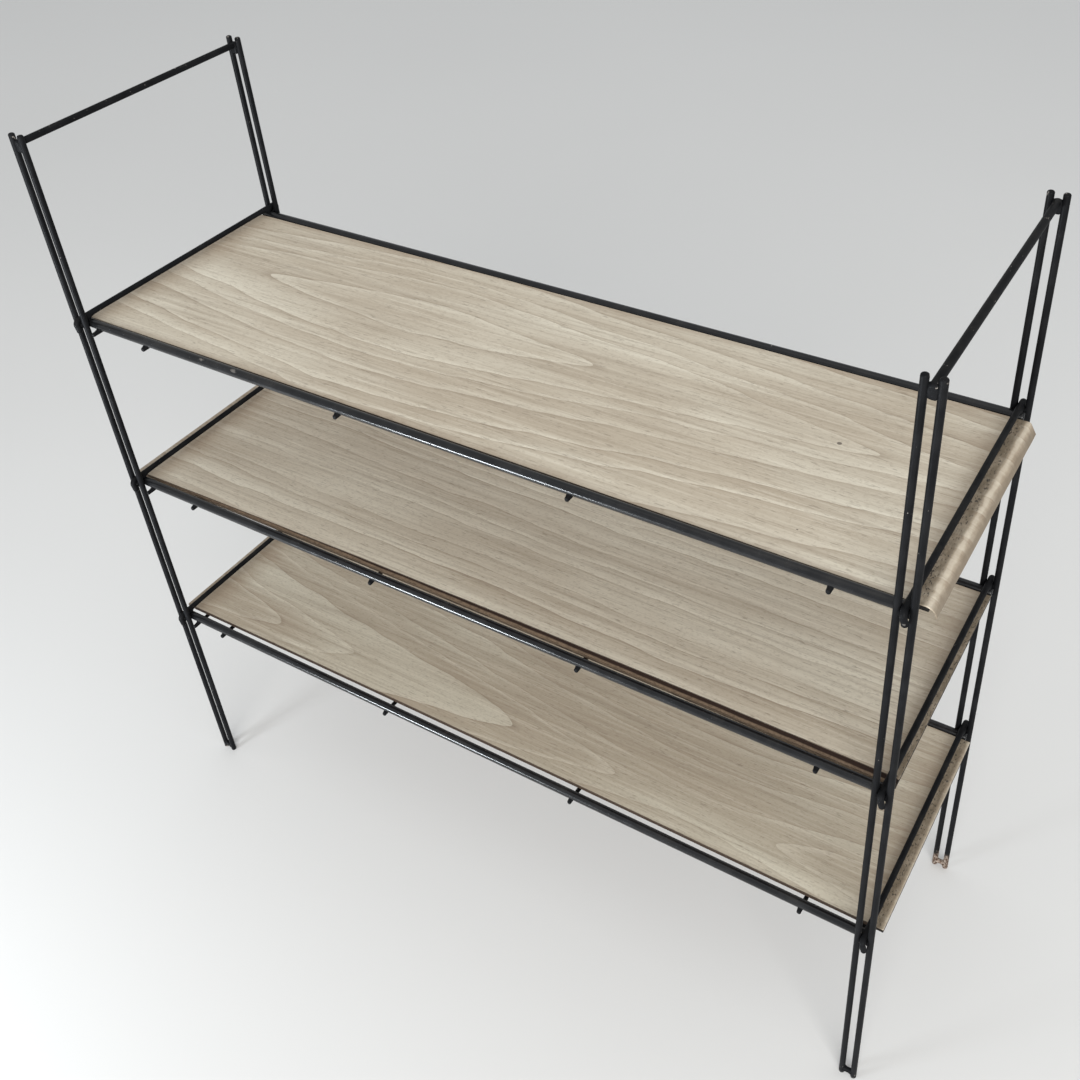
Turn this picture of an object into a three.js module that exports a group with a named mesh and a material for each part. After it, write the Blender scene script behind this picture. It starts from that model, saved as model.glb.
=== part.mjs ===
// Three-tier wire shelf rack. Millimetres, +Z up, +X along the shelves, +Y to the back.
// The origin is on the floor, at the middle of the footprint.
// Two ladder-like end frames carry three shelf frames, and each shelf frame carries a loose panel.

import * as THREE from 'three';

// End frames
const LEG_SPAN = 600;
const LEG_DEPTH = 192;
const LEG_HEIGHT = 594;
const LEG_WIRE_DIAMETER = 4.2;
const LEG_WIRE_PITCH = 8.6;
const CROSSBAR_DIAMETER = 4.6;
const CROSSBAR_DROP = 6;
const CROSSBAR_END_INSET = 0.5;
const RUNG_DIAMETER = 4;
const FOOT_PIECE_HEIGHT = 4.5;

// Shelf frames
const RAIL_LENGTH = 608;
const RAIL_DIAMETER = 6.4;
const END_WIRE_DIAMETER = 4;
const END_WIRE_BEND_RADIUS = 3;
const HOOK_TIP_BELOW_RAIL_CENTRE = 3.5;
const CROSS_WIRE_DIAMETER = 3;
const CROSS_WIRE_STUB = 1.2;

// The under wire nearest each pair of legs: its place along X, and how far its ends stand out past the rails
const LOWER_WIRES = {
  left: { x: -290, stub: 3.8 },
  right: { x: 295, stub: 0 },
};

// Panels: a board under a thin covering
const PANEL_THICKNESS = 3.8;
const COVERING_THICKNESS = 0.8;
const PANEL_TO_REAR_RAIL = 0.5;

// The top panel's covering has come loose at the right: it curls down past the end of the board, as a flap
const FLAP_LENGTH = 11.5;
const FLAP_ANGLE = 92;
const BOARD_UNDER_FLAP = 2.8;

// level: height of the rail centres. crossWires: where the hand-welded wires under the panel cross, along X.
// ends: where the level part of the panel starts and ends, along X. bow: rise of the panel's middle.
// setBack: how far the covering's front edge lies behind the board's at the right end.
const SHELVES = [
  {
    name: 'bottom', level: 165, crossWires: [-261, -89, 79, 255],
    ends: [-310.2, 307.8], panelWidth: 169.5, bow: 2, setBack: 0, flap: false,
  },
  {
    name: 'middle', level: 309.3, crossWires: [-245, -73, 96, 259],
    ends: [-312.6, 304], panelWidth: 171.8, bow: 2.4, setBack: 4.8, flap: false,
  },
  {
    name: 'top', level: 452, crossWires: [-243, -71, 101, 259],
    ends: [-306, 306], panelWidth: 172.8, bow: 0.8, setBack: 0, flap: true,
  },
];

// Clearances
const WELD_GAP = 0.1;
const SLIDING_GAP = 0.3;

// Facets
const WIRE_SIDES = 12;
const BEND_STATIONS = 4;
const CURVE_SEGMENTS = 8;

// Places that follow from the sizes above
const LEG_RADIUS = LEG_WIRE_DIAMETER / 2;
const RAIL_RADIUS = RAIL_DIAMETER / 2;
const END_WIRE_RADIUS = END_WIRE_DIAMETER / 2;
const CROSS_WIRE_RADIUS = CROSS_WIRE_DIAMETER / 2;
const LEG_Y = LEG_DEPTH / 2;
const RAIL_Y = LEG_Y - LEG_RADIUS - RAIL_RADIUS - SLIDING_GAP;
const HOOK_Y = LEG_Y + LEG_RADIUS + END_WIRE_RADIUS + SLIDING_GAP;
const END_WIRE_RISE = RAIL_RADIUS + END_WIRE_RADIUS + WELD_GAP;
const CROSS_WIRE_DROP = RAIL_RADIUS + CROSS_WIRE_RADIUS + WELD_GAP;
const RUNG_RISE = END_WIRE_RISE - END_WIRE_RADIUS - WELD_GAP - RUNG_DIAMETER / 2;
const BRIDGE_LENGTH = LEG_WIRE_PITCH - LEG_WIRE_DIAMETER - 2 * WELD_GAP;

const SIDES = [
  { name: 'left', x: -1 },
  { name: 'right', x: 1 },
];
const ENDS = [
  { name: 'front', y: -1 },
  { name: 'rear', y: 1 },
];

const group = new THREE.Group();

function paintedWire() {
  return new THREE.MeshStandardMaterial({ color: 0x17181a, roughness: 0.42, metalness: 0.55 });
}

function woodFacedBoard() {
  return new THREE.MeshStandardMaterial({ color: 0xb9ab92, roughness: 0.6, metalness: 0 });
}

function addMesh(name, geometry, material) {
  const mesh = new THREE.Mesh(geometry, material);
  mesh.name = name;
  group.add(mesh);
  return mesh;
}

// A straight round wire from one point to another
function addRod(name, diameter, from, to) {
  const start = new THREE.Vector3(...from);
  const along = new THREE.Vector3(...to).sub(start);
  const geometry = new THREE.CylinderGeometry(diameter / 2, diameter / 2, along.length(), WIRE_SIDES);
  const rod = addMesh(name, geometry, paintedWire());
  rod.position.copy(start).addScaledVector(along, 0.5);
  rod.quaternion.setFromUnitVectors(new THREE.Vector3(0, 1, 0), along.normalize());
}

// A path whose stations are chosen, so that a long straight stretch takes a single step
class StationPath extends THREE.Curve {
  constructor(stations) {
    super();
    this.stations = stations;
  }

  get steps() {
    return this.stations.length - 1;
  }

  getPointAt(u) {
    return this.stations[Math.round(u * this.steps)].point.clone();
  }

  getTangentAt(u) {
    return this.stations[Math.round(u * this.steps)].tangent.clone();
  }
}

// One hooked end of a shelf's upper end wire, from the tip up and over the bend
function hookStations(tipZ) {
  const bendY = HOOK_Y - END_WIRE_BEND_RADIUS;
  const bendZ = END_WIRE_RISE - END_WIRE_BEND_RADIUS;
  const stations = [{
    point: new THREE.Vector3(0, -HOOK_Y, tipZ),
    tangent: new THREE.Vector3(0, 0, 1),
  }];
  for (let i = 0; i <= BEND_STATIONS; i += 1) {
    const angle = (i / BEND_STATIONS) * Math.PI / 2;
    const cos = Math.cos(angle);
    const sin = Math.sin(angle);
    stations.push({
      point: new THREE.Vector3(0, -bendY - END_WIRE_BEND_RADIUS * cos, bendZ + END_WIRE_BEND_RADIUS * sin),
      tangent: new THREE.Vector3(0, sin, cos),
    });
  }
  return stations;
}

// The upper end wire crosses over both rails and hooks down over the rungs of both legs
function addEndWire(name, x, level) {
  const near = hookStations(-HOOK_TIP_BELOW_RAIL_CENTRE);
  const far = near.map(({ point, tangent }) => ({
    point: new THREE.Vector3(0, -point.y, point.z),
    tangent: new THREE.Vector3(0, tangent.y, -tangent.z),
  })).reverse();
  const path = new StationPath([...near, ...far]);
  const section = new THREE.Shape();
  for (let i = 0; i < WIRE_SIDES; i += 1) {
    const angle = (i / WIRE_SIDES) * 2 * Math.PI;
    const corner = [END_WIRE_RADIUS * Math.cos(angle), END_WIRE_RADIUS * Math.sin(angle)];
    if (i === 0) {
      section.moveTo(...corner);
    } else {
      section.lineTo(...corner);
    }
  }
  const geometry = new THREE.ExtrudeGeometry(section, {
    steps: path.steps,
    bevelEnabled: false,
    extrudePath: path,
  });
  addMesh(name, geometry, paintedWire()).position.set(x, 0, level);
}

// One leg: two parallel wires, a short rung at each shelf and a short piece above the feet
function addLeg(side, end) {
  const legName = `${side.name}_${end.name}`;
  const x = side.x * LEG_SPAN / 2;
  const y = end.y * LEG_Y;
  const wires = [
    { name: 'outer', x: x + side.x * LEG_WIRE_PITCH / 2 },
    { name: 'inner', x: x - side.x * LEG_WIRE_PITCH / 2 },
  ];
  for (const wire of wires) {
    addRod(`${legName}_leg_${wire.name}_wire`, LEG_WIRE_DIAMETER, [wire.x, y, 0], [wire.x, y, LEG_HEIGHT]);
  }
  const bridge = (name, z) => addRod(
    name, RUNG_DIAMETER, [x - BRIDGE_LENGTH / 2, y, z], [x + BRIDGE_LENGTH / 2, y, z],
  );
  bridge(`${legName}_foot_piece`, FOOT_PIECE_HEIGHT);
  for (const shelf of SHELVES) {
    bridge(`${legName}_${shelf.name}_rung`, shelf.level + RUNG_RISE);
  }
}

function addEndFrame(side) {
  for (const end of ENDS) {
    addLeg(side, end);
  }
  const x = side.x * LEG_SPAN / 2;
  const z = LEG_HEIGHT - CROSSBAR_DROP;
  const reach = LEG_Y + LEG_RADIUS - CROSSBAR_END_INSET;
  addRod(`${side.name}_top_crossbar`, CROSSBAR_DIAMETER, [x, -reach, z], [x, reach, z]);
}

// A shelf frame: two rails, hooked wires over them, and straight wires under them
function addShelfFrame(shelf) {
  const { name, level } = shelf;
  for (const end of ENDS) {
    const y = end.y * RAIL_Y;
    addRod(
      `${name}_shelf_${end.name}_rail`, RAIL_DIAMETER,
      [-RAIL_LENGTH / 2, y, level], [RAIL_LENGTH / 2, y, level],
    );
  }
  for (const side of SIDES) {
    addEndWire(`${name}_shelf_${side.name}_end_wire`, side.x * LEG_SPAN / 2, level);
    const { x, stub } = LOWER_WIRES[side.name];
    addUnderWire(`${name}_shelf_${side.name}_lower_wire`, x, level, stub);
  }
  shelf.crossWires.forEach((x, i) => {
    addUnderWire(`${name}_shelf_cross_wire_${i + 1}`, x, level, CROSS_WIRE_STUB);
  });
}

// A thin wire under both rails, whose ends stand out past the rails by the stub
function addUnderWire(name, x, level, stub) {
  const reach = RAIL_Y + RAIL_RADIUS + stub;
  const z = level - CROSS_WIRE_DROP;
  addRod(name, CROSS_WIRE_DIAMETER, [x, -reach, z], [x, reach, z]);
}

// The right end of a panel's outline, from the bottom corner to the top: square, or with the covering's curl
function closeRightEnd(outline, right, curled) {
  if (!curled) {
    outline.lineTo(right, PANEL_THICKNESS);
    return;
  }
  const angle = THREE.MathUtils.degToRad(FLAP_ANGLE);
  const outer = FLAP_LENGTH / angle;
  const inner = outer - COVERING_THICKNESS;
  const centreZ = PANEL_THICKNESS - outer;
  const boardAngle = Math.PI / 2 - Math.asin(BOARD_UNDER_FLAP / inner);
  const tipAngle = Math.PI / 2 - angle;
  outline.lineTo(right + BOARD_UNDER_FLAP, 0);
  outline.absarc(right, centreZ, inner, boardAngle, tipAngle, true);
  outline.absarc(right, centreZ, outer, tipAngle, Math.PI / 2, false);
}

// Draws the covering's front edge back from the board's, on a panel that is still centred on its own middle.
// The edge leaves the board's at the left end, and runs back in a flattening curve.
function setBackCovering(geometry, shelf, length) {
  const { position } = geometry.attributes;
  for (let i = 0; i < position.count; i += 1) {
    const share = position.getX(i) / length + 0.5;
    const rise = 4 * shelf.bow * share * (1 - share);
    const isTop = position.getY(i) - rise > PANEL_THICKNESS / 2;
    if (isTop && position.getZ(i) > 0) {
      position.setZ(i, position.getZ(i) - shelf.setBack * share * (2 - share));
    }
  }
  geometry.computeVertexNormals();
}

// The loose panel, slightly bowed
function addPanel(shelf) {
  const [left, right] = shelf.ends;
  const middle = (left + right) / 2;

  const outline = new THREE.Shape();
  outline.moveTo(left, 0);
  outline.quadraticCurveTo(middle, 2 * shelf.bow, right, 0);
  closeRightEnd(outline, right, shelf.flap);
  outline.quadraticCurveTo(middle, PANEL_THICKNESS + 2 * shelf.bow, left, PANEL_THICKNESS);
  outline.closePath();

  const geometry = new THREE.ExtrudeGeometry(outline, {
    depth: shelf.panelWidth,
    bevelEnabled: false,
    curveSegments: CURVE_SEGMENTS,
  });
  geometry.translate(-middle, 0, -shelf.panelWidth / 2);
  if (shelf.setBack > 0) {
    setBackCovering(geometry, shelf, right - left);
  }
  const panel = addMesh(`${shelf.name}_shelf_panel`, geometry, woodFacedBoard());
  const rearEdge = RAIL_Y - RAIL_RADIUS - PANEL_TO_REAR_RAIL;
  panel.rotation.x = Math.PI / 2;
  panel.position.set(middle, rearEdge - shelf.panelWidth / 2, shelf.level - RAIL_RADIUS);
}

for (const side of SIDES) {
  addEndFrame(side);
}
for (const shelf of SHELVES) {
  addShelfFrame(shelf);
  addPanel(shelf);
}

export default group;
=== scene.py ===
"""A three-tier black wire rack with loose wood-faced panels.

Metres, +Z up, +X along the shelves, +Y to the back, with the origin on the floor under the rack's middle.
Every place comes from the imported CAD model. One piece stands for each CAD node, and each panel is two pieces:
the board and the covering that is glued on it.
"""

import math

import bpy
from mathutils import Matrix, Vector, noise


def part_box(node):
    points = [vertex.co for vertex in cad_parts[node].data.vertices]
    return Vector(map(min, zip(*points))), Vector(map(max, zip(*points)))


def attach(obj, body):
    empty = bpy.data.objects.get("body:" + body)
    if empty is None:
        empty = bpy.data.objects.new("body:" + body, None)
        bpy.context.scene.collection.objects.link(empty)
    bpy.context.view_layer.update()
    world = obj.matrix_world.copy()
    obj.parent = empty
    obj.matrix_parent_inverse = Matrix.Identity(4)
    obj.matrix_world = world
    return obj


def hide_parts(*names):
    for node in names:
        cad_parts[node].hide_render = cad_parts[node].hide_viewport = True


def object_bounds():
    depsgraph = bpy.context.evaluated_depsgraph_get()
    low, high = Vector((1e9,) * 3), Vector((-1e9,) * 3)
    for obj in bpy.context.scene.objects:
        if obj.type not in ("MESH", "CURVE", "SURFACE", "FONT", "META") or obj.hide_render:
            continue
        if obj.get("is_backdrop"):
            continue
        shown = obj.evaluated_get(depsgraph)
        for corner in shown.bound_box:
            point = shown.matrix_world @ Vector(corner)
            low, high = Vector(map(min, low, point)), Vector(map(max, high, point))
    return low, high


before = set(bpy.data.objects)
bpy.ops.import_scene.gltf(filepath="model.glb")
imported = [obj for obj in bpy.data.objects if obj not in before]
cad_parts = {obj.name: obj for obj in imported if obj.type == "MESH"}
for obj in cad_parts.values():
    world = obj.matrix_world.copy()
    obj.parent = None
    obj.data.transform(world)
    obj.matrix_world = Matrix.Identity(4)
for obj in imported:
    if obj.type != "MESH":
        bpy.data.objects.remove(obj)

CAD_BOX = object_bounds()
MM = 0.001

SHELVES = ("bottom", "middle", "top")
SIDES = {"left": -1, "right": 1}
ENDS = {"front": -1, "rear": 1}
CROSS_WIRES = 4

# The view: where the camera stands, how it is turned, and how far the picture is off the lens's axis
CAMERA_PLACE = Vector((0.4227, -0.5380, 0.9004))
CAMERA_YAW = -33.05
CAMERA_PITCH = -36.63
CAMERA_ROLL = 3.51
CAMERA_LENS = 42.01
CAMERA_SHIFT = (-0.0663, -0.1009)
SENSOR_WIDTH = 36.0

# An edge stays sharp where its faces meet at more than this many degrees
SHARP_ANGLE = 40

# Wires. Each end's edge is rounded, by a share of the wire's radius.
WIRE_SIDES = 20
WIRE_STEP = 20 * MM
SMALLEST_STEP = 0.3 * MM
ROUNDING_TURNS = (0.0, 0.35, 0.7, 1.05, 1.35, math.pi / 2)
CUT_END_ROUNDING = 0.35
LEG_FOOT_ROUNDING = 0.3
LEG_TOP_ROUNDING = 0.55
UNDER_WIRE_ROUNDING = 0.5
CROSSBAR_ROUNDING = 0.6
BRIDGE_ROUNDING = 0.2
HOOK_TIP_ROUNDING = 0.9

# Where wires are welded: the places along the wire, how much it swells, and how far along it that reaches
WELD_STEPS = [k * 0.7 * MM for k in range(-6, 7)]
WELD_UNEVENNESS = 0.35
END_WIRE_WELD = {"amount": 1.5 * MM, "reach": 3.0 * MM}
UNDER_WIRE_WELD = {"amount": 1.2 * MM, "reach": 2.4 * MM}

# Rungs and foot pieces: how far they go into the leg's wires, and how much they flare there and are worn
BRIDGE_SINK = 0.9 * MM
BRIDGE_STEPS = 14
BRIDGE_FLARE = 0.34
BRIDGE_WEAR = 0.04

# The weld's bead at each end of a crossbar, and how far it lies in from the bar's tip and below its axis.
# The corners are squarer the nearer to 0 their number is, and quite round at 1.
BEAD_SIZE = Vector((3.0, 1.9, 4.4)) * MM
BEAD_OFFSET = 2.2 * MM
BEAD_ROWS = 10
BEAD_COLUMNS = 16
BEAD_CORNERS = 0.55
BEAD_UNEVENNESS = 0.10

# Hooks of the end wires, and how far each one leans along the shelf by its tip
END_WIRE_BEND_RADIUS = 3 * MM
BEND_STEPS = 10
HOOK_STEPS = 4
HOOK_LEANS = {
    ("right", "front"): 2.2 * MM,
    ("right", "rear"): 0.8 * MM,
    ("left", "front"): 2.2 * MM,
    ("left", "rear"): -0.9 * MM,
}
LEAN_LEFT_AT_BEND = 0.25

# Panels. Each one is bowed upwards, by less than in CAD, so that it clears the end wires as it slides out.
BOARD_AND_COVERING = 3.8 * MM
COVERING_THICKNESS = 0.8 * MM
BOARD_THICKNESS = BOARD_AND_COVERING - COVERING_THICKNESS
SLIDING_ROOM = 0.15 * MM
PANEL_COLUMNS = 72
PANEL_ROWS = 56

# The edges from the top down: a share of the thickness, and how far the edge is drawn in there
BOARD_EDGE = (
    (0.0, 0.10 * MM), (0.12, 0.02 * MM), (0.35, 0.0), (0.47, 0.10 * MM), (0.60, 0.02 * MM), (0.85, 0.05 * MM),
    (1.0, 0.35 * MM),
)
COVERING_EDGE = ((0.0, 0.18 * MM), (0.2, 0.05 * MM), (0.5, 0.0), (0.8, 0.05 * MM), (1.0, 0.12 * MM))
BOARD_RAGGEDNESS = 0.16 * MM
COVERING_RAGGEDNESS = 0.2 * MM

# How far each covering's front edge lies behind its board's at the right: it runs back in a flattening curve
SET_BACKS = {"bottom": 0.0, "middle": 4.8 * MM, "top": 0.0}

# The top panel's covering curls down past the right end, and the board goes on a little way under it
CURLED_SHELF = "top"
FLAP_LENGTH = 11.1 * MM
FLAP_CURL = math.radians(92)
FLAP_REAR_FOLD = math.radians(61)
FLAP_FOLDED_FROM = 0.76
FLAP_WAVE = 0.05
FLAP_FRONT_CUT = 0.012
FLAP_COLUMNS = 18
CURL_STEPS = 14
BOARD_UNDER_FLAP = 2.8 * MM
BOARD_END_COLUMNS = 4


# --------------------------------------------------------------------------------------------------
# Camera
# --------------------------------------------------------------------------------------------------


def add_camera():
    yaw, pitch, roll = (math.radians(a) for a in (CAMERA_YAW, CAMERA_PITCH, CAMERA_ROLL))
    forward = Vector((math.cos(pitch) * math.sin(yaw), math.cos(pitch) * math.cos(yaw), math.sin(pitch)))
    level_right = forward.cross(Vector((0, 0, 1))).normalized()
    level_down = forward.cross(level_right)
    right = math.cos(roll) * level_right + math.sin(roll) * level_down
    down = -math.sin(roll) * level_right + math.cos(roll) * level_down
    data = bpy.data.cameras.new("camera")
    data.sensor_width = SENSOR_WIDTH
    data.lens = CAMERA_LENS
    data.shift_x, data.shift_y = CAMERA_SHIFT
    camera = bpy.data.objects.new("camera", data)
    turned = Matrix((right, -down, -forward)).transposed().to_4x4()
    camera.matrix_world = Matrix.Translation(CAMERA_PLACE) @ turned
    bpy.context.scene.collection.objects.link(camera)
    bpy.context.scene.camera = camera


add_camera()


# --------------------------------------------------------------------------------------------------
# Materials
# --------------------------------------------------------------------------------------------------


class Shader:
    """A material that is written as a formula: each method adds one node and returns its output."""

    def __init__(self, name):
        self.material = bpy.data.materials.new(name)
        self.material.use_nodes = True
        self.tree = self.material.node_tree
        self.surface = self.tree.nodes["Principled BSDF"]
        self.point = self.node("ShaderNodeTexCoord").outputs["Object"]
        self.x, self.y, self.z = self.axes(self.point)

    def node(self, kind, values=(), **settings):
        made = self.tree.nodes.new(kind)
        for key, value in settings.items():
            setattr(made, key, value)
        pairs = values.items() if isinstance(values, dict) else enumerate(values)
        for key, value in pairs:
            self.put(made.inputs[key], value)
        return made

    def put(self, socket, value):
        if isinstance(value, bpy.types.NodeSocket):
            self.tree.links.new(value, socket)
        else:
            socket.default_value = value

    def set(self, **values):
        for key, value in values.items():
            self.put(self.surface.inputs[key.replace("_", " ")], value)

    def axes(self, vector):
        return self.node("ShaderNodeSeparateXYZ", [vector]).outputs

    def facing(self):
        """The direction in which the surface faces, as its x, y and z."""
        return self.axes(self.node("ShaderNodeNewGeometry").outputs["Normal"])

    def distance(self, a, b):
        return self.node("ShaderNodeVectorMath", [a, b], operation="DISTANCE").outputs["Value"]

    def math(self, operation, *values):
        return self.node("ShaderNodeMath", values, operation=operation).outputs[0]

    def add(self, a, b):
        return self.math("ADD", a, b)

    def subtract(self, a, b):
        return self.math("SUBTRACT", a, b)

    def times(self, a, b):
        return self.math("MULTIPLY", a, b)

    def most(self, a, b):
        return self.math("MAXIMUM", a, b)

    def scaled(self, value, factor, offset):
        return self.math("MULTIPLY_ADD", value, factor, offset)

    def swing(self, value, amount):
        """A pattern from 0 to 1, turned into one from minus half the amount to plus half."""
        return self.scaled(value, amount, -amount / 2)

    def ease(self, value, start, end, low=0.0, high=1.0):
        """Goes smoothly from low to high as the value goes from start to end."""
        ends = {"Value": value, "From Min": start, "From Max": end, "To Min": low, "To Max": high}
        if start > end:
            ends.update({"From Min": end, "From Max": start, "To Min": high, "To Max": low})
        return self.node("ShaderNodeMapRange", ends, interpolation_type="SMOOTHSTEP").outputs[0]

    def stretch(self, per_metre, shift=(0, 0, 0)):
        """The place on the object, with this many units to a metre along each axis."""
        values = {"Vector": self.point, "Location": shift, "Scale": per_metre}
        return self.node("ShaderNodeMapping", values).outputs[0]

    def noise(self, per_metre, detail=2.0, roughness=0.5, shift=(0, 0, 0)):
        values = {"Vector": self.stretch(per_metre, shift), "Scale": 1.0, "Detail": detail,
                  "Roughness": roughness}
        return self.node("ShaderNodeTexNoise", values).outputs[0]

    def dots(self, per_metre, radius, share, shift=(0, 0, 0)):
        """1 inside small dots that lie at random in a share of the cells, and 0 elsewhere."""
        values = {"Vector": self.stretch(per_metre, shift), "Scale": 1.0}
        cells = self.node("ShaderNodeTexVoronoi", values)
        chance = self.node("ShaderNodeSeparateColor", [cells.outputs["Color"]]).outputs[0]
        size = self.times(self.ease(chance, 1 - share, 1.0), radius)
        inside = self.math("LESS_THAN", cells.outputs["Distance"], size)
        return self.times(inside, self.math("GREATER_THAN", chance, 1 - share))

    def mix(self, factor, a, b):
        """Colour b over colour a. The node's sockets go by number, as those for numbers share their names."""
        made = self.node("ShaderNodeMix", data_type="RGBA")
        self.put(made.inputs[0], factor)
        self.put(made.inputs[6], a)
        self.put(made.inputs[7], b)
        return made.outputs[2]

    def bump(self, height, distance):
        values = {"Strength": 1.0, "Distance": distance, "Height": height}
        self.put(self.surface.inputs["Normal"], self.node("ShaderNodeBump", values).outputs[0])


# The wires' paint, the bare steel and the rust, each between two shades, and the dust
PAINT_SHADES = ((0.0055, 0.0058, 0.0066, 1), (0.0100, 0.0103, 0.0113, 1))
STEEL_SHADES = ((0.16, 0.15, 0.14, 1), (0.34, 0.31, 0.28, 1))
RUST_SHADES = ((0.070, 0.036, 0.022, 1), (0.30, 0.25, 0.21, 1))
DUST_TONE = (0.060, 0.055, 0.048, 1)

# Big chips are twice as long along the shelf as across it
CHIP_SQUEEZE = (0.5, 1, 1)


def chip_places():
    """The bigger chips in the paint: where, and how far across."""
    rail_low, rail_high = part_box("top_shelf_front_rail")
    hook_low, hook_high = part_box("top_shelf_right_end_wire")
    rail_y, rail_z = rail_low.y + 1.6 * MM, rail_high.z - 0.5 * MM
    return (
        (Vector((-0.187, rail_y, rail_z)), 2.6 * MM),
        (Vector((-0.158, rail_y, rail_z)), 3.4 * MM),
        (Vector((hook_low.x, hook_low.y + 1 * MM, hook_low.z + 6 * MM)), 1.8 * MM),
        (Vector((hook_high.x, hook_low.y, hook_low.z + 3 * MM)), 1.5 * MM),
    )


def paint_chips(s):
    """Where the paint is off: small chips, mostly at the legs' tops and feet, and a few bigger ones."""
    legs_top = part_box("left_front_leg_outer_wire")[1].z
    worn = s.most(s.ease(s.z, legs_top - 8 * MM, legs_top), s.ease(s.z, 14 * MM, 0.0))
    roughened = s.noise((330, 330, 330), detail=3, roughness=0.65, shift=(5, 0, 9))
    chips = s.ease(s.subtract(roughened, s.scaled(worn, -0.13, 0.735)), 0.0, 0.02)
    squeezed = s.node("ShaderNodeVectorMath", [s.point, CHIP_SQUEEZE], operation="MULTIPLY").outputs[0]
    uneven = s.noise((900, 900, 900), detail=3, roughness=0.7)
    for place, width in chip_places():
        away = s.distance(squeezed, tuple(a * b for a, b in zip(place, CHIP_SQUEEZE)))
        ragged = s.add(away, s.swing(uneven, width * 1.6))
        chips = s.most(chips, s.ease(ragged, width * 0.38, width * 0.20, 0.0, 0.6))
    return chips


def rusted_foot(s):
    """Where there is rust: the rear right foot has stood in the wet."""
    low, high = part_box("right_rear_foot_piece")
    uneven = s.noise((260, 260, 260), detail=3, roughness=0.6, shift=(1, 7, 3))
    reach = s.add(s.distance(s.point, tuple((low + high) / 2)), s.swing(uneven, 22 * MM))
    return s.ease(reach, 15 * MM, 9 * MM)


def painted_wire(name, specular, glossiest, dullest, bumpiness):
    """Black paint on steel, with small chips, dust on what faces up, and a rusty worn foot."""
    s = Shader(name)
    patchy = s.noise((60, 60, 60), detail=3, roughness=0.6)
    fine = s.noise((900, 900, 900), detail=2, roughness=0.6)
    colour = s.mix(s.ease(patchy, 0.35, 0.75), *PAINT_SHADES)

    dusty = s.noise((45, 45, 45), detail=4, roughness=0.7, shift=(3, 1, 2))
    dust = s.times(s.ease(s.facing()[2], 0.35, 1.0), s.ease(dusty, 0.45, 0.75, 0.0, 0.18))
    colour = s.mix(dust, colour, DUST_TONE)

    chips = paint_chips(s)
    colour = s.mix(chips, colour, s.mix(s.ease(fine, 0.4, 0.65), *STEEL_SHADES))
    rusted = rusted_foot(s)
    grains = s.ease(s.noise((700, 700, 700), detail=3, shift=(2, 4, 8)), 0.4, 0.62)
    colour = s.mix(rusted, colour, s.mix(grains, *RUST_SHADES))

    bare = s.most(chips, s.times(rusted, 0.6))
    gloss = s.ease(patchy, 0.3, 0.8, glossiest, dullest)
    s.set(Base_Color=colour, Specular_IOR_Level=specular, Metallic=s.times(bare, 0.65))
    s.set(Roughness=s.add(s.add(gloss, s.times(dust, 0.5)), s.times(bare, 0.22)))
    s.bump(s.subtract(s.times(fine, 0.22), s.times(bare, 0.9)), bumpiness)
    return s.material


# On the covering: grime, grime and painted shade by the right end wire, painted shade at the flap's end,
# black specks, painted shade on the cut edges, and spots
GRIME_TONE = (0.27, 0.19, 0.125, 1)
BESIDE_WIRE_SHADE_AND_GRIME_TONE = (0.118, 0.091, 0.058, 1)
FLAP_END_SHADE_TONE = (0.170, 0.135, 0.096, 1)
SPECK_TONE = (0.03, 0.024, 0.02, 1)
CUT_EDGE_SHADE_TONE = (0.050, 0.034, 0.026, 1)
SPOT_TONE = (0.055, 0.042, 0.035, 1)


def growth_rings(s, figure, shift):
    """How many rings out each place is, how far through its ring it is, and how clear that ring is.

    figure: the rings' middle line lies at y = middle, and they close or open round x = turn, at a rate of
    'rings_along' to a metre, counted from 'start'. 'soft' and 'turn_width' round the rings' points, and
    'pitch' is their distance across the grain. 'strength' is how much they stand out.
    """
    waver = s.swing(s.noise((3.2, 14, 1), detail=2, shift=shift), 20 * MM)
    ripple = s.swing(s.noise((20, 45, 1), detail=2, shift=shift), 7 * MM)
    across = s.subtract(s.add(s.add(s.y, waver), ripple), figure["middle"])
    spread = s.math("SQRT", s.scaled(across, across, figure["soft"] ** 2))
    from_turn = s.subtract(s.x, figure["turn"])
    reach = s.math("SQRT", s.scaled(from_turn, from_turn, figure["turn_width"] ** 2))
    along = s.times(reach, figure["rings_along"])
    count = s.add(s.scaled(spread, 1 / figure["pitch"], figure["start"]), along)

    # The rings are unevenly wide. Twenty more of them keep the count above zero.
    uneven = s.times(s.math("SINE", s.times(count, 2.3)), 0.22)
    raised = s.add(s.add(count, uneven), 20.0)
    number = {"W": s.math("FLOOR", raised)}
    clearness = s.node("ShaderNodeTexWhiteNoise", number, noise_dimensions="1D").outputs["Value"]
    return count, s.math("FRACT", raised), clearness


def edge_grime(s, seed):
    """Grime next to the end wires and along the long edges."""
    left_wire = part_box("top_shelf_left_end_wire")[1].x
    right_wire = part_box("top_shelf_right_end_wire")[0].x
    front, rear = (corner.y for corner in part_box("top_shelf_panel"))
    uneven = s.swing(s.noise((40, 34, 1), detail=3, roughness=0.65, shift=(seed, 2, 8)), 22 * MM)
    x = s.add(s.x, uneven)
    y = s.add(s.y, s.times(uneven, 0.3))
    at_left = s.ease(x, left_wire + 26 * MM, left_wire - 2 * MM)
    at_right = s.ease(x, right_wire - 20 * MM, right_wire + 4 * MM)
    at_rear = s.ease(y, rear - 8 * MM, rear)
    at_front = s.ease(y, front + 6 * MM, front)
    return s.most(s.most(at_left, at_right), s.most(at_rear, at_front))


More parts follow.
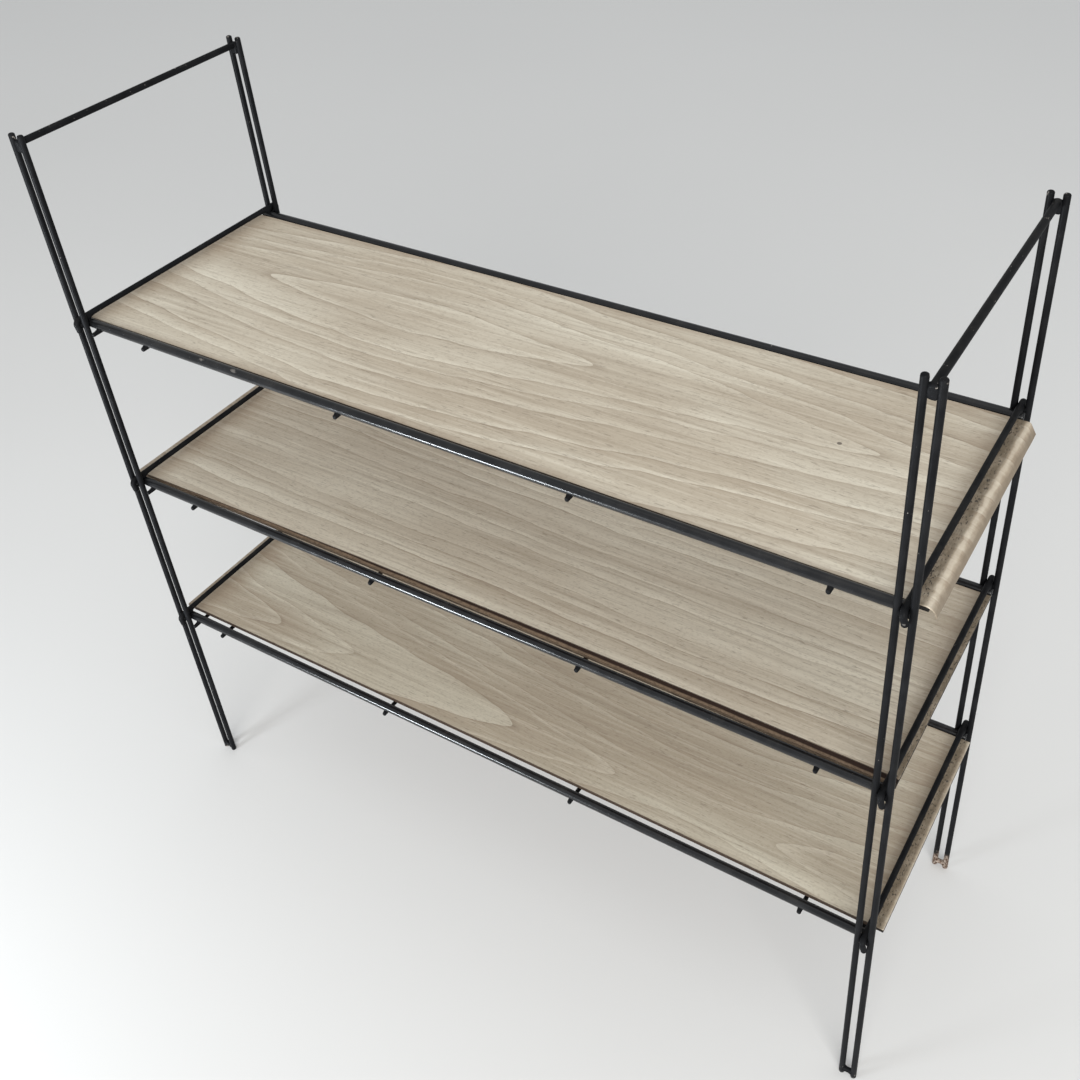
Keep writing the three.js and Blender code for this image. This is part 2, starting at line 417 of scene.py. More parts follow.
def grime_and_painted_light_past_wire(s, colour, seed, pale):
    """The colour past the right end wire: dark against the wire, as grime and painted shade, with black specks.
    Then a painted highlight lies pale where the covering curls over, and painted shade darkens its end."""
    right_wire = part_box("top_shelf_right_end_wire")[0].x
    mottled = s.noise((260, 90, 260), detail=4, roughness=0.65, shift=(seed, 6, 3))
    from_wire = s.add(s.subtract(s.x, right_wire), s.swing(mottled, 4 * MM))
    past_wire = s.math("GREATER_THAN", s.x, right_wire + 2 * MM)
    # Grime and painted shade: darker against the wire
    beside_wire = s.times(past_wire, s.ease(from_wire, 9.6 * MM, 6.8 * MM))
    darkened = s.times(beside_wire, s.ease(mottled, 0.3, 0.6, 0.45, 0.85))
    colour = s.mix(darkened, colour, BESIDE_WIRE_SHADE_AND_GRIME_TONE)
    # Painted highlight: a pale strip where the covering curls over
    pale_strip = s.times(s.ease(from_wire, 8.4 * MM, 9.6 * MM), s.ease(from_wire, 12.2 * MM, 10.6 * MM))
    colour = s.mix(s.times(pale_strip, 0.22), colour, pale)
    # Painted shade: darker towards the flap's end, where the curl turns down
    colour = s.mix(s.ease(from_wire, 10.4 * MM, 14.4 * MM, 0.0, 0.85), colour, FLAP_END_SHADE_TONE)
    against_wire = s.times(past_wire, s.ease(from_wire, 9.2 * MM, 6.0 * MM))
    specks = s.ease(s.noise((900, 420, 900), detail=2, roughness=0.6, shift=(seed, 1, 1)), 0.57, 0.64)
    return s.mix(s.times(s.times(against_wire, specks), 0.90), colour, SPECK_TONE)


def wood_covering(name, figure, seed):
    """Oak-effect covering, printed with growth rings, fine pores and fibres, and grubby at its edges, with
    painted shade on its cut edges and past the right end wire, and a painted highlight on the curl.
    """
    s = Shader(name)
    shift = (seed * 3.1, seed * 1.7, seed)
    count, ring, clearness = growth_rings(s, figure, shift)

    # Fibres along the shelf, pores in short dashes, fine specks, and slow changes of shade
    fibre = s.noise((6, 330, 1), detail=4, roughness=0.6, shift=shift)
    thread = s.noise((22, 900, 1), detail=2, roughness=0.6, shift=shift)
    pores = s.ease(s.noise((130, 1100, 1), detail=1, shift=(7, seed, 0)), 0.63, 0.72)
    specked = s.noise((420, 700, 1), detail=2, roughness=0.6, shift=(seed, 3, 0))
    cloud = s.noise((4, 22, 1), detail=3, roughness=0.55, shift=(seed, 4, 0))
    blotch = s.noise((22, 34, 1), detail=3, roughness=0.6, shift=(2, seed, 5))
    faded = s.noise((5, 16, 1), detail=1, shift=(seed, 9, 1))

    # The rings: each starts with a dark line, fades through late wood, and ends pale
    ring_depth = s.ease(faded, 0.3, 0.7, 0.6 * figure["strength"], figure["strength"])
    ring_depth = s.times(ring_depth, s.scaled(clearness, 0.65, 0.55))
    warm_rings = s.ease(s.math("SINE", s.scaled(count, 1.9, seed)), -0.1, 1.0)
    late = s.math("POWER", s.subtract(1.0, ring), 1.25)
    line = s.ease(ring, 0.09, 0.0)
    colour = s.mix(s.ease(cloud, 0.36, 0.66), figure["light"], figure["warm"])
    colour = s.mix(s.times(warm_rings, ring_depth), colour, figure["warm"])
    colour = s.mix(s.times(s.times(late, ring_depth), 0.86), colour, figure["late"])
    colour = s.mix(s.times(s.times(line, ring_depth), 0.62), colour, figure["line"])
    colour = s.mix(s.times(s.ease(ring, 0.70, 0.97), s.times(ring_depth, 0.42)), colour, figure["pale"])

    # The grain: each pattern starts to show at one value, and is strongest at the next
    for pattern, start, full, strength, tone in (
        (fibre, 0.46, 0.72, 0.42, "line"),
        (fibre, 0.46, 0.26, 0.35, "pale"),
        (thread, 0.48, 0.28, 0.24, "pale"),
        (thread, 0.54, 0.74, 0.22, "line"),
    ):
        colour = s.mix(s.ease(pattern, start, full, 0.0, strength), colour, figure[tone])
    colour = s.mix(s.times(pores, 0.42), colour, figure["pore"])
    colour = s.mix(s.ease(specked, 0.50, 0.72, 0.0, 0.28), colour, figure["line"])
    colour = s.mix(s.ease(blotch, 0.52, 0.8, 0.0, 0.35), colour, figure["warm"])

    grime = edge_grime(s, seed)
    colour = s.mix(s.times(grime, 0.42), colour, GRIME_TONE)
    colour = grime_and_painted_light_past_wire(s, colour, seed, figure["pale"])

    # Painted shade: the cut front and rear edges are darkened, except on the flap
    right_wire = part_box("top_shelf_right_end_wire")[0].x
    sideways = s.ease(s.math("ABSOLUTE", s.facing()[1]), 0.45, 0.75)
    painted_shade_cut_edge = s.times(sideways, s.ease(s.x, right_wire + 6 * MM, right_wire + 4 * MM))
    colour = s.mix(s.times(painted_shade_cut_edge, 0.90), colour, CUT_EDGE_SHADE_TONE)

    big_spots = s.dots((26, 30, 26), 0.040, 0.22, (seed, 0.4, 0.5))
    small_spots = s.dots((60, 90, 60), 0.075, 0.06, (seed, 0.7, 0.5))
    colour = s.mix(s.times(s.most(big_spots, small_spots), 0.75), colour, SPOT_TONE)

    s.set(Base_Color=colour, Specular_IOR_Level=0.35)
    s.set(Roughness=s.add(s.ease(cloud, 0.3, 0.7, 0.50, 0.60), s.times(grime, 0.15)))
    s.bump(s.subtract(s.times(thread, 0.5), s.add(s.times(pores, 0.8), s.times(line, 0.3))), 0.08 * MM)
    return s.material


# The boards: gaps between fibres in the cut edge and in the bare top, the shaded end, and the underside with
# the screen pattern that is pressed into it
EDGE_GAP_TONE = (0.012, 0.008, 0.006, 1)
TOP_GAP_TONE = (0.016, 0.010, 0.008, 1)
SHADED_END_TONE = (0.008, 0.007, 0.006, 1)
UNDERSIDE_TONE = (0.185, 0.100, 0.056, 1)
SCREEN_TONE = (0.05, 0.026, 0.016, 1)
SCREEN_PITCH = 1.9 * MM


def hardboard(name, tones, front):
    """Brown pressed-fibre board: its cut edge in two layers, with the maker's screen pattern underneath."""
    s = Shader(name)
    fibre = s.noise((420, 420, 1300), detail=4, roughness=0.7)
    layer = s.node("ShaderNodeAttribute", attribute_name="layer").outputs["Fac"]
    border = s.add(layer, s.swing(s.noise((55, 55, 200), detail=3, roughness=0.6, shift=(4, 4, 1)), 0.35))
    colour = s.mix(s.ease(border, tones["border"], tones["border"] + 0.18), tones["lower"], tones["upper"])
    worn = s.ease(s.noise((30, 30, 200), detail=4, roughness=0.7, shift=(9, 2, 2)), 0.45, 0.62, 0.0, 0.75)
    colour = s.mix(s.times(worn, s.ease(border, 0.75, 0.55)), colour, tones["worn"])
    colour = s.mix(s.ease(fibre, 0.35, 0.65, 0.35, 0.0), colour, EDGE_GAP_TONE)

    # Where the covering is set back the board's bare top shows: dark beside the covering, paler at the edge
    upward = s.facing()[2]
    uneven = s.swing(s.noise((40, 12, 1), detail=3, shift=(1, 2, 6)), 1.6 * MM)
    from_edge = s.subtract(s.add(s.y, uneven), front)
    bare = s.mix(s.ease(from_edge, tones["pale_strip"], tones["pale_strip"] - 1 * MM), tones["upper"], tones["lower"])
    bare = s.mix(s.ease(fibre, 0.30, 0.62, 0.45, 0.0), bare, TOP_GAP_TONE)
    colour = s.mix(s.ease(upward, 0.5, 0.8), colour, bare)

    # The end under the curl is in the dark
    right_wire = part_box("top_shelf_right_end_wire")[1].x
    cut_end = s.ease(s.x, right_wire, right_wire + 2 * MM)
    colour = s.mix(s.times(cut_end, 0.92), colour, SHADED_END_TONE)

    under = s.ease(upward, -0.7, -0.95)
    turns = 2 * math.pi / SCREEN_PITCH
    weave = s.times(s.math("SINE", s.times(s.x, turns)), s.math("SINE", s.times(s.y, turns)))
    screen = s.times(under, s.scaled(weave, 0.5, 0.5))
    colour = s.mix(s.times(under, 0.55), colour, UNDERSIDE_TONE)
    colour = s.mix(s.times(screen, 0.22), colour, SCREEN_TONE)

    s.set(Base_Color=colour, Specular_IOR_Level=0.2, Roughness=0.78)
    s.bump(s.subtract(s.times(fibre, 0.7), s.times(screen, 0.8)), 0.18 * MM)
    return s.material


FLOOR_SHADES = ((0.66, 0.66, 0.65, 1), (0.69, 0.69, 0.68, 1))


def pale_floor():
    s = Shader("pale_floor")
    colour = s.mix(s.noise((1.5, 1.5, 1.5), detail=2), *FLOOR_SHADES)
    s.set(Base_Color=colour, Roughness=0.75, Specular_IOR_Level=0.2)
    return s.material


# The coverings' print: plain wood, warm patches, late wood, lines, pale lines and pores
COVERING_TONES = {
    "light": (0.655, 0.606, 0.495, 1),
    "warm": (0.490, 0.427, 0.332, 1),
    "late": (0.395, 0.328, 0.245, 1),
    "line": (0.285, 0.228, 0.166, 1),
    "pale": (0.760, 0.710, 0.590, 1),
    "pore": (0.190, 0.150, 0.110, 1),
}

# The rings of each print, as growth_rings explains. A print may have tones of its own.
# top: closed rings round one point, with points towards the right. bottom: rings that part round one point.
# middle: straight grain, from far off the middle line.
FIGURES = {
    "top": {
        "middle": 0.019, "turn": -0.090, "turn_width": 0.040, "rings_along": 7.4, "start": -0.70,
        "soft": 0.007, "pitch": 0.0165, "strength": 1.0,
    },
    "middle": {
        "middle": 0.260, "turn": 0.100, "turn_width": 0.150, "rings_along": 1.6, "start": 0.0,
        "soft": 0.050, "pitch": 0.0145, "strength": 0.80,
    },
    "bottom": {
        "middle": -0.060, "turn": 0.160, "turn_width": 0.035, "rings_along": -9.3, "start": 0.0,
        "soft": 0.010, "pitch": 0.0150, "strength": 0.80,
        "light": (0.585, 0.546, 0.440, 1), "warm": (0.445, 0.388, 0.298, 1),
    },
}
SEEDS = {"top": 1.3, "middle": 4.6, "bottom": 8.2}

# The boards' cut edges: the upper layer, the lower layer, and where the lower one is worn. 'border' is the
# height between the layers, as a share of the edge, and the last entry is how far back from its edge a bare
# top is paler.
BOARD_TONES = {
    "bottom": {
        "upper": (0.090, 0.060, 0.042, 1), "lower": (0.125, 0.085, 0.058, 1),
        "worn": (0.080, 0.050, 0.034, 1), "border": 0.42, "pale_strip": 2.6 * MM,
    },
    "middle": {
        "upper": (0.038, 0.022, 0.016, 1), "lower": (0.235, 0.168, 0.112, 1),
        "worn": (0.060, 0.040, 0.028, 1), "border": 0.85, "pale_strip": 2.4 * MM,
    },
    # Painted shade: the top board is near black, as its edges and end lie in shade under the covering
    "top": {
        "upper": (0.030, 0.018, 0.012, 1), "lower": (0.013, 0.010, 0.008, 1),
        "worn": (0.055, 0.032, 0.020, 1), "border": 0.42, "pale_strip": 2.6 * MM,
    },
}

WIRE = painted_wire("black_wire", specular=0.05, glossiest=0.42, dullest=0.55, bumpiness=0.04 * MM)
RAIL = painted_wire("black_rail", specular=0.30, glossiest=0.17, dullest=0.25, bumpiness=0.02 * MM)
BOARDS = {
    shelf: hardboard(f"hardboard_{shelf}", BOARD_TONES[shelf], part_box(f"{shelf}_shelf_panel")[0].y)
    for shelf in SHELVES
}
COVERINGS = {
    shelf: wood_covering(f"wood_covering_{shelf}", {**COVERING_TONES, **FIGURES[shelf]}, SEEDS[shelf])
    for shelf in SHELVES
}


# --------------------------------------------------------------------------------------------------
# Making pieces
# --------------------------------------------------------------------------------------------------


def make_piece(name, vertices, faces, material, body, nodes):
    mesh = bpy.data.meshes.new(name)
    mesh.from_pydata([tuple(v) for v in vertices], [], faces)
    mesh.materials.append(material)
    mesh.shade_smooth()
    mesh.set_sharp_from_angle(angle=math.radians(SHARP_ANGLE))
    piece = bpy.data.objects.new(name, mesh)
    bpy.context.scene.collection.objects.link(piece)
    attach(piece, body)
    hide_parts(*nodes)
    return piece


def smooth_step(value, start, end):
    t = max(0.0, min(1.0, (value - start) / (end - start)))
    return t * t * (3 - 2 * t)


class Weld:
    """A place where a wire is welded to what lies on one side of it: the wire swells towards that side."""

    def __init__(self, place, towards, amount, reach):
        self.place = Vector(place)
        self.towards = Vector(towards)
        self.amount = amount
        self.reach = reach

    def moves(self, centre, outward):
        distance = (centre - self.place).length
        lump = 1 + WELD_UNEVENNESS * noise.noise(centre * 900 + outward * 0.8)
        near = math.exp(-((distance / self.reach) ** 2)) * lump
        facing = smooth_step(outward.dot(self.towards), -0.35, 0.75)
        return (0.75 * outward + 0.6 * self.towards) * self.amount * near * facing


def swept_wire(path, radius, side, rounding, welds=()):
    """The vertices and faces of a round wire along a path of points, with rounded ends.

    side is a direction that is square to the path all along it. rounding is the share of the radius that each
    end's edge is rounded by, at the start and at the end.
    """
    rings = []
    last = len(path) - 1
    for i, point in enumerate(path):
        tangent = (path[min(i + 1, last)] - path[max(i - 1, 0)]).normalized()
        if i in (0, last):
            outwards = -tangent if i == 0 else tangent
            edge = radius * rounding[0 if i == 0 else 1]
            turns = [(point - outwards * edge * (1 - math.sin(a)), radius - edge * (1 - math.cos(a)), tangent)
                     for a in ROUNDING_TURNS]
            rings.extend(reversed(turns) if i == 0 else turns)
        else:
            rings.append((point, radius, tangent))
    vertices = []
    for centre, size, tangent in rings:
        first = (side - tangent * side.dot(tangent)).normalized()
        second = tangent.cross(first)
        for k in range(WIRE_SIDES):
            turn = 2 * math.pi * k / WIRE_SIDES
            outward = math.cos(turn) * first + math.sin(turn) * second
            place = centre + outward * size
            for weld in welds:
                place = place + weld.moves(centre, outward)
            vertices.append(place)
    faces = []
    for row in range(len(rings) - 1):
        for k in range(WIRE_SIDES):
            a = row * WIRE_SIDES + k
            b = row * WIRE_SIDES + (k + 1) % WIRE_SIDES
            faces.append((a, b, b + WIRE_SIDES, a + WIRE_SIDES))
    for ring, backwards in ((0, True), (len(rings) - 1, False)):
        corners = [ring * WIRE_SIDES + k for k in range(WIRE_SIDES)]
        middle = len(vertices)
        vertices.append(rings[ring][0].copy())
        for k in range(WIRE_SIDES):
            pair = (corners[k], corners[(k + 1) % WIRE_SIDES])
            faces.append((pair[1], pair[0], middle) if backwards else (pair[0], pair[1], middle))
    return vertices, faces


def axis_of(node):
    """The two ends of a straight wire's axis, and its radius."""
    low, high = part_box(node)
    size = high - low
    longest = max(range(3), key=lambda i: size[i])
    start = (low + high) / 2
    end = start.copy()
    start[longest] = low[longest]
    end[longest] = high[longest]
    return start, end, min(size) / 2


def straight_path(start, end, weld_places=()):
    """Points from start to end, closer together round each weld."""
    length = (end - start).length
    along = (end - start) / length
    steps = max(2, round(length / WIRE_STEP))
    marks = {round(length * i / steps, 5) for i in range(steps + 1)}
    for place in weld_places:
        middle = (Vector(place) - start).dot(along)
        marks |= {round(middle + step, 5) for step in WELD_STEPS if 0 < middle + step < length}
    ordered = sorted(marks)
    kept = [ordered[0]]
    for mark in ordered[1:]:
        if mark - kept[-1] > SMALLEST_STEP:
            kept.append(mark)
    kept[-1] = length
    return [start + along * mark for mark in kept]


def add_straight_wire(node, body, welds=(), rounding=(CUT_END_ROUNDING, CUT_END_ROUNDING), paint=WIRE):
    start, end, radius = axis_of(node)
    side = Vector((0, 1, 0)) if abs((end - start).x) > radius * 2.1 else Vector((1, 0, 0))
    path = straight_path(start, end, [weld.place for weld in welds])
    vertices, faces = swept_wire(path, radius, side, rounding, welds)
    return make_piece(f"{node}_painted", vertices, faces, paint, body, [node])


# --------------------------------------------------------------------------------------------------
# End frames
# --------------------------------------------------------------------------------------------------


def lump(centre, size, seed):
    """A weld's bead: a rounded block with an uneven skin."""
    vertices, faces = [], []
    rows, columns = BEAD_ROWS, BEAD_COLUMNS
    for i in range(rows + 1):
        polar = math.pi * i / rows
        for k in range(columns):
            turn = 2 * math.pi * k / columns
            across = math.sin(polar)
            flat = Vector((across * math.cos(turn), across * math.sin(turn), math.cos(polar)))
            square = Vector(math.copysign(abs(c) ** BEAD_CORNERS, c) for c in flat)
            grown = 1 + BEAD_UNEVENNESS * noise.noise(flat * 1.7 + Vector((seed, seed * 2.3, 0)))
            vertices.append(centre + Vector(square[j] * size[j] * grown for j in range(3)))
    for i in range(rows):
        for k in range(columns):
            a, b = i * columns + k, i * columns + (k + 1) % columns
            if i == 0:
                faces.append((a, a + columns, b + columns))
            elif i == rows - 1:
                faces.append((a, a + columns, b))
            else:
                faces.append((a, a + columns, b + columns, b))
    return vertices, faces


def add_bridge(node, body):
    """A short rod between a leg's two wires. Its welds flare at both ends, and its middle is worn thinner."""
    start, end, radius = axis_of(node)
    along = (end - start).normalized()
    start, end = start - along * BRIDGE_SINK, end + along * BRIDGE_SINK
    path = [start.lerp(end, i / BRIDGE_STEPS) for i in range(BRIDGE_STEPS + 1)]
    half = (end - start).length / 2
    middle = (start + end) / 2
    vertices, faces = swept_wire(path, radius, Vector((0, 1, 0)), (BRIDGE_ROUNDING, BRIDGE_ROUNDING))
    for v in vertices:
        reach = abs((v - middle).dot(along)) / half
        off_axis = v - middle - along * (v - middle).dot(along)
        flare = BRIDGE_FLARE * reach ** 3 - BRIDGE_WEAR - BRIDGE_WEAR * abs(noise.noise(v * 700))
        v += off_axis * flare
    return make_piece(f"{node}_painted", vertices, faces, WIRE, body, [node])


def add_leg(side, end):
    rounding = (LEG_FOOT_ROUNDING, LEG_TOP_ROUNDING)
    for wire in ("outer", "inner"):
        add_straight_wire(f"{side}_{end}_leg_{wire}_wire", "end_frames", rounding=rounding)
    add_bridge(f"{side}_{end}_foot_piece", "end_frames")
    for shelf in SHELVES:
        add_bridge(f"{side}_{end}_{shelf}_rung", "end_frames")


def add_crossbar(side, seed):
    """The bar across the top, whose weld fills the slot between each leg's wires."""
    node = f"{side}_top_crossbar"
    start, end, radius = axis_of(node)
    rounding = (CROSSBAR_ROUNDING, CROSSBAR_ROUNDING)
    vertices, faces = swept_wire(straight_path(start, end), radius, Vector((1, 0, 0)), rounding)
    for y_side, tip in ((1, start), (-1, end)):
        centre = tip + Vector((0, y_side * BEAD_OFFSET, -BEAD_OFFSET))
        more, more_faces = lump(centre, BEAD_SIZE, seed + y_side)
        base = len(vertices)
        vertices.extend(more)
        faces.extend(tuple(i + base for i in face) for face in more_faces)
    return make_piece(f"{node}_painted", vertices, faces, WIRE, "end_frames", [node])


# --------------------------------------------------------------------------------------------------
# Shelf frames
# --------------------------------------------------------------------------------------------------


def rail_places(shelf):
    """How far back the axes of a shelf's front and rear rails lie."""
    return [axis_of(f"{shelf}_shelf_{end}_rail")[0].y for end in ENDS]


def hook_path(side, end, x, y_tip, z_tip, z_top):
    """Points from a hook's tip up its leg and round the bend to the level stretch."""
    towards = -ENDS[end]
    bend = END_WIRE_BEND_RADIUS
    lean = HOOK_LEANS[side, end]
    points = []
    for i in range(HOOK_STEPS + 1):
        share = i / HOOK_STEPS
        lean_here = lean * (1 - share * (1 - LEAN_LEFT_AT_BEND))
        points.append(Vector((x + lean_here, y_tip, z_tip + (z_top - bend - z_tip) * share)))
    for i in range(1, BEND_STEPS + 1):
        turn = i / BEND_STEPS * math.pi / 2
        points.append(Vector((
            x + lean * LEAN_LEFT_AT_BEND * (1 - i / BEND_STEPS),
            y_tip + towards * bend * (1 - math.cos(turn)),
            z_top - bend + bend * math.sin(turn),
        )))
    return points


def add_end_wire(shelf, side):
    """The wire over both rails, hooked down over the rungs of both legs."""
    node = f"{shelf}_shelf_{side}_end_wire"
    low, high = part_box(node)
    radius = (high.x - low.x) / 2
    x = (high.x + low.x) / 2
    z_top = high.z - radius
    welds = [Weld((x, y, z_top), (0, 0, -1), **END_WIRE_WELD) for y in rail_places(shelf)]
    front = hook_path(side, "front", x, low.y + radius, low.z, z_top)
    rear = hook_path(side, "rear", x, high.y - radius, low.z, z_top)
    level = straight_path(front[-1], rear[-1], [weld.place for weld in welds])
    path = front + level[1:-1] + rear[::-1]
    rounding = (HOOK_TIP_ROUNDING, HOOK_TIP_ROUNDING)
    vertices, faces = swept_wire(path, radius, Vector((1, 0, 0)), rounding, welds)
    return make_piece(f"{node}_painted", vertices, faces, WIRE, f"{shelf}_shelf", [node])


def add_under_wire(shelf, name):
    """A thin wire welded under both rails."""
    node = f"{shelf}_shelf_{name}"
    start = axis_of(node)[0]
    welds = [Weld((start.x, y, start.z), (0, 0, 1), **UNDER_WIRE_WELD) for y in rail_places(shelf)]
    return add_straight_wire(node, f"{shelf}_shelf", welds, (UNDER_WIRE_ROUNDING, UNDER_WIRE_ROUNDING))


def add_shelf_frame(shelf):
    for end in ENDS:
        add_straight_wire(f"{shelf}_shelf_{end}_rail", f"{shelf}_shelf", paint=RAIL)
    for side in SIDES:
        add_end_wire(shelf, side)
        add_under_wire(shelf, f"{side}_lower_wire")
    for number in range(CROSS_WIRES):
        add_under_wire(shelf, f"cross_wire_{number + 1}")


# --------------------------------------------------------------------------------------------------
# Panels
# --------------------------------------------------------------------------------------------------


def slab(columns, rows, place, levels):
    """A thin closed sheet over a grid. place(u, v, depth) gives a point that far under the top surface.

    levels are (depth, inset) pairs from the top to the bottom, and the inset draws in the outer edge there.
    Returns vertices, faces and each vertex's share of the depth.
    """
    vertices, faces, shares = [], [], []
    wide, deep = len(columns), len(rows)
    total = levels[-1][0]

    def clamped(values, i, inset):
        return min(max(values[i], values[0] + inset), values[-1] - inset)

    def add_grid(depth, inset):
        first = len(vertices)
        for j in range(deep):
            for i in range(wide):
                vertices.append(place(clamped(columns, i, inset), clamped(rows, j, inset), depth))
                shares.append(1 - depth / total)
        return first

    top = add_grid(*levels[0])
    bottom = add_grid(*levels[-1])
    for j in range(deep - 1):
        for i in range(wide - 1):
            a = j * wide + i
            quad = (a, a + 1, a + 1 + wide, a + wide)
            faces.append(tuple(top + k for k in quad))
            faces.append(tuple(bottom + k for k in reversed(quad)))
    border = [(i, 0) for i in range(wide)] + [(wide - 1, j) for j in range(1, deep)]
    border += [(i, deep - 1) for i in range(wide - 2, -1, -1)] + [(0, j) for j in range(deep - 2, 0, -1)]
    above = [top + j * wide + i for i, j in border]
    for depth, inset in levels[1:-1]:
        below = []
        for i, j in border:
            below.append(len(vertices))
            vertices.append(place(clamped(columns, i, inset), clamped(rows, j, inset), depth))
            shares.append(1 - depth / total)
        faces.extend(wall(above, below))
        above = below
    faces.extend(wall(above, [bottom + j * wide + i for i, j in border]))
    return vertices, faces, shares


def wall(above, below):
    """Faces between two loops of the same length."""
    count = len(above)
    return [(above[k], below[k], below[(k + 1) % count], above[(k + 1) % count]) for k in range(count)]


def spaced(start, end, count):
    return [start + (end - start) * i / count for i in range(count + 1)]


class PanelShape:
    """Where a panel's board and covering lie. u and v are measured from its middle, along and across it."""

    def __init__(self, shelf):
        low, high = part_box(f"{shelf}_shelf_panel")
        self.curled = shelf == CURLED_SHELF
        right = -low.x if self.curled else high.x
        self.middle = Vector(((low.x + right) / 2, (low.y + high.y) / 2, 0))
        self.half_length = (right - low.x) / 2
        self.half_width = (high.y - low.y) / 2
        self.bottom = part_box(f"{shelf}_shelf_front_rail")[0].z
        self.top = self.bottom + BOARD_AND_COVERING
        self.bow = high.z - self.top - SLIDING_ROOM
        self.set_back = SET_BACKS[shelf]
        self.board_end = self.half_length + (BOARD_UNDER_FLAP if self.curled else 0.0)

    def place(self, u, v, z):
        return self.middle + Vector((u, v, z))

    def rise(self, u):
        share = u / self.half_length
        return self.bow * max(0.0, 1 - share * share)

    def board_point(self, u, v, depth):
        """A point in the board. Under the curl, the board's top follows the covering's underside."""
        past_end = max(0.0, u - self.half_length)
        inner = FLAP_LENGTH / FLAP_CURL - COVERING_THICKNESS
        sunk = inner - math.sqrt(inner * inner - past_end * past_end)
        skin = Vector((u * 260, v * 260, self.top * 50 + depth * 900))
        ragged = BOARD_RAGGEDNESS * abs(noise.noise(skin))
        u -= math.copysign(ragged, u)
        v -= math.copysign(ragged, v)
        height = (BOARD_THICKNESS - sunk) * (1 - depth / BOARD_THICKNESS)
        return self.place(u, v, self.bottom + self.rise(u) + height)

    def covering_point(self, u, v, depth):
        """u is the length along the covering: over the board first, and then round the curl."""
        if u > self.half_length:
            return self.flap_point((u - self.half_length) / FLAP_LENGTH, v, depth)
        share = (u / self.half_length + 1) / 2
        ragged = COVERING_RAGGEDNESS * abs(noise.noise(Vector((u * 190, self.top * 70, 5.0))))
        set_back = self.set_back * share * (2 - share) + (ragged if self.set_back else 0.0)
        from_rear = (self.half_width - v) * (1 - set_back / (2 * self.half_width))
        return self.place(u, self.half_width - from_rear, self.top + self.rise(u) - depth)

    def flap_point(self, share, v, depth):
        """The flap rolls over evenly, but is folded sharply at its rear corner, and cut back in front."""
        folded = smooth_step(v, FLAP_FOLDED_FROM * self.half_width, self.half_width)
        wave = abs(noise.noise(Vector((v * 30, 3.1, self.top * 9))))

        def turn_at(part):
            rolled = part * FLAP_CURL * (1 - FLAP_WAVE * wave)
            fold = FLAP_REAR_FOLD * smooth_step(part, 0.10, 0.38)
            return rolled + (fold - rolled) * folded

        along = down = 0.0
        step = share * FLAP_LENGTH / CURL_STEPS
        for k in range(CURL_STEPS):
            turn = turn_at((k + 0.5) / CURL_STEPS * share)
            along += step * math.cos(turn)
            down += step * math.sin(turn)
        turn = turn_at(share)
        cut = 1 - FLAP_FRONT_CUT * share if v < 0 else 1
        u = self.half_length + along - depth * math.sin(turn)
        return self.place(u, v * cut, self.top - down - depth * math.cos(turn))


def add_layer(shelf, name, material, place, grid, edge, thickness):
    """One of a panel's two layers. Returns the piece, and each vertex's share of the layer's height."""
    levels = [(share * thickness, inset) for share, inset in edge]
    vertices, faces, shares = slab(*grid, place, levels)
    node = f"{shelf}_shelf_panel"
    piece = make_piece(
        f"{shelf}_shelf_{name}", vertices, faces, material, f"{shelf}_panel", [node]
    )
    return piece, shares


def add_panel(shelf):
    shape = PanelShape(shelf)
    end = shape.half_length
    rows = spaced(-shape.half_width, shape.half_width, PANEL_ROWS)
    board = spaced(-end, end, PANEL_COLUMNS)
    covering = list(board)
    if shape.curled:
        board += spaced(end, shape.board_end, BOARD_END_COLUMNS)[1:]
        covering += spaced(end, end + FLAP_LENGTH, FLAP_COLUMNS)[1:]
    piece, shares = add_layer(
        shelf, "board", BOARDS[shelf], shape.board_point, (board, rows), BOARD_EDGE, BOARD_THICKNESS
    )
    layer = piece.data.attributes.new("layer", "FLOAT", "POINT")
    layer.data.foreach_set("value", shares)
    add_layer(
        shelf, "covering", COVERINGS[shelf], shape.covering_point, (covering, rows), COVERING_EDGE,
        COVERING_THICKNESS
    )


# --------------------------------------------------------------------------------------------------
# The rack
# --------------------------------------------------------------------------------------------------

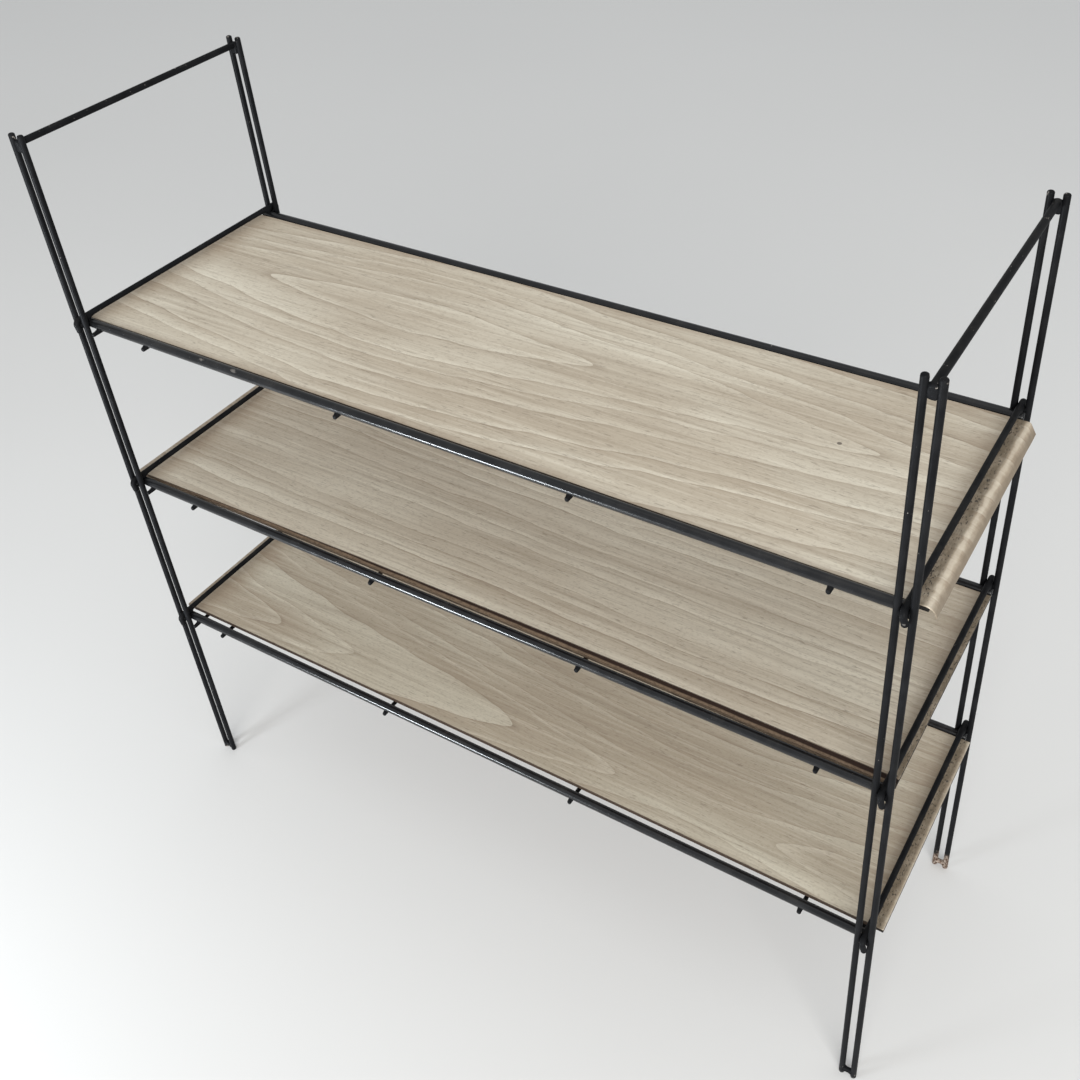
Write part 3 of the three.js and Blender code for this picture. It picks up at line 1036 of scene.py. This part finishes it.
for number, side in enumerate(SIDES):
    for end in ENDS:
        add_leg(side, end)
    add_crossbar(side, seed=3 + 5 * number)
for shelf in SHELVES:
    add_shelf_frame(shelf)
    add_panel(shelf)


# --------------------------------------------------------------------------------------------------
# Floor and light
# --------------------------------------------------------------------------------------------------

WARM_LIGHT = (1.0, 0.985, 0.96)
COOL_LIGHT = (0.88, 0.94, 1.0)


def add_floor(half_width):
    w = half_width
    mesh = bpy.data.meshes.new("floor")
    mesh.from_pydata([(-w, -w, 0), (w, -w, 0), (w, w, 0), (-w, w, 0)], [], [(0, 1, 2, 3)])
    mesh.materials.append(pale_floor())
    floor = bpy.data.objects.new("floor", mesh)
    bpy.context.scene.collection.objects.link(floor)
    floor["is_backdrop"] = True


def add_softbox(name, place, aim, width, height, watts, colour):
    data = bpy.data.lights.new(name, "AREA")
    data.shape = "RECTANGLE"
    data.size = width
    data.size_y = height
    data.energy = watts
    data.color = colour
    light = bpy.data.objects.new(name, data)
    light.location = place
    light.rotation_mode = "QUATERNION"
    light.rotation_quaternion = (Vector(place) - Vector(aim)).to_track_quat("Z", "Y")
    bpy.context.scene.collection.objects.link(light)


def add_world(colour, strength):
    world = bpy.data.worlds.new("studio")
    world.use_nodes = True
    background = world.node_tree.nodes["Background"]
    background.inputs["Color"].default_value = (*colour, 1)
    background.inputs["Strength"].default_value = strength
    bpy.context.scene.world = world


bpy.context.scene.view_settings.view_transform = "Standard"
add_floor(half_width=9)
add_world(colour=(0.96, 0.98, 1.0), strength=0.70)
add_softbox("overhead", (0.3, -0.2, 2.6), (0, 0, 0.3), 2.4, 2.4, 8, WARM_LIGHT)
add_softbox("fill", (1.5, -2.3, 1.25), (0, 0, 0.3), 2.4, 1.5, 92, WARM_LIGHT)
add_softbox("low", (-0.55, -1.0, 0.12), (0, -0.09, 0.31), 0.25, 0.15, 14, COOL_LIGHT)

boxes = {"cad": CAD_BOX, "visual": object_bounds()}
{key: [list(corner) for corner in box] for key, box in boxes.items()}
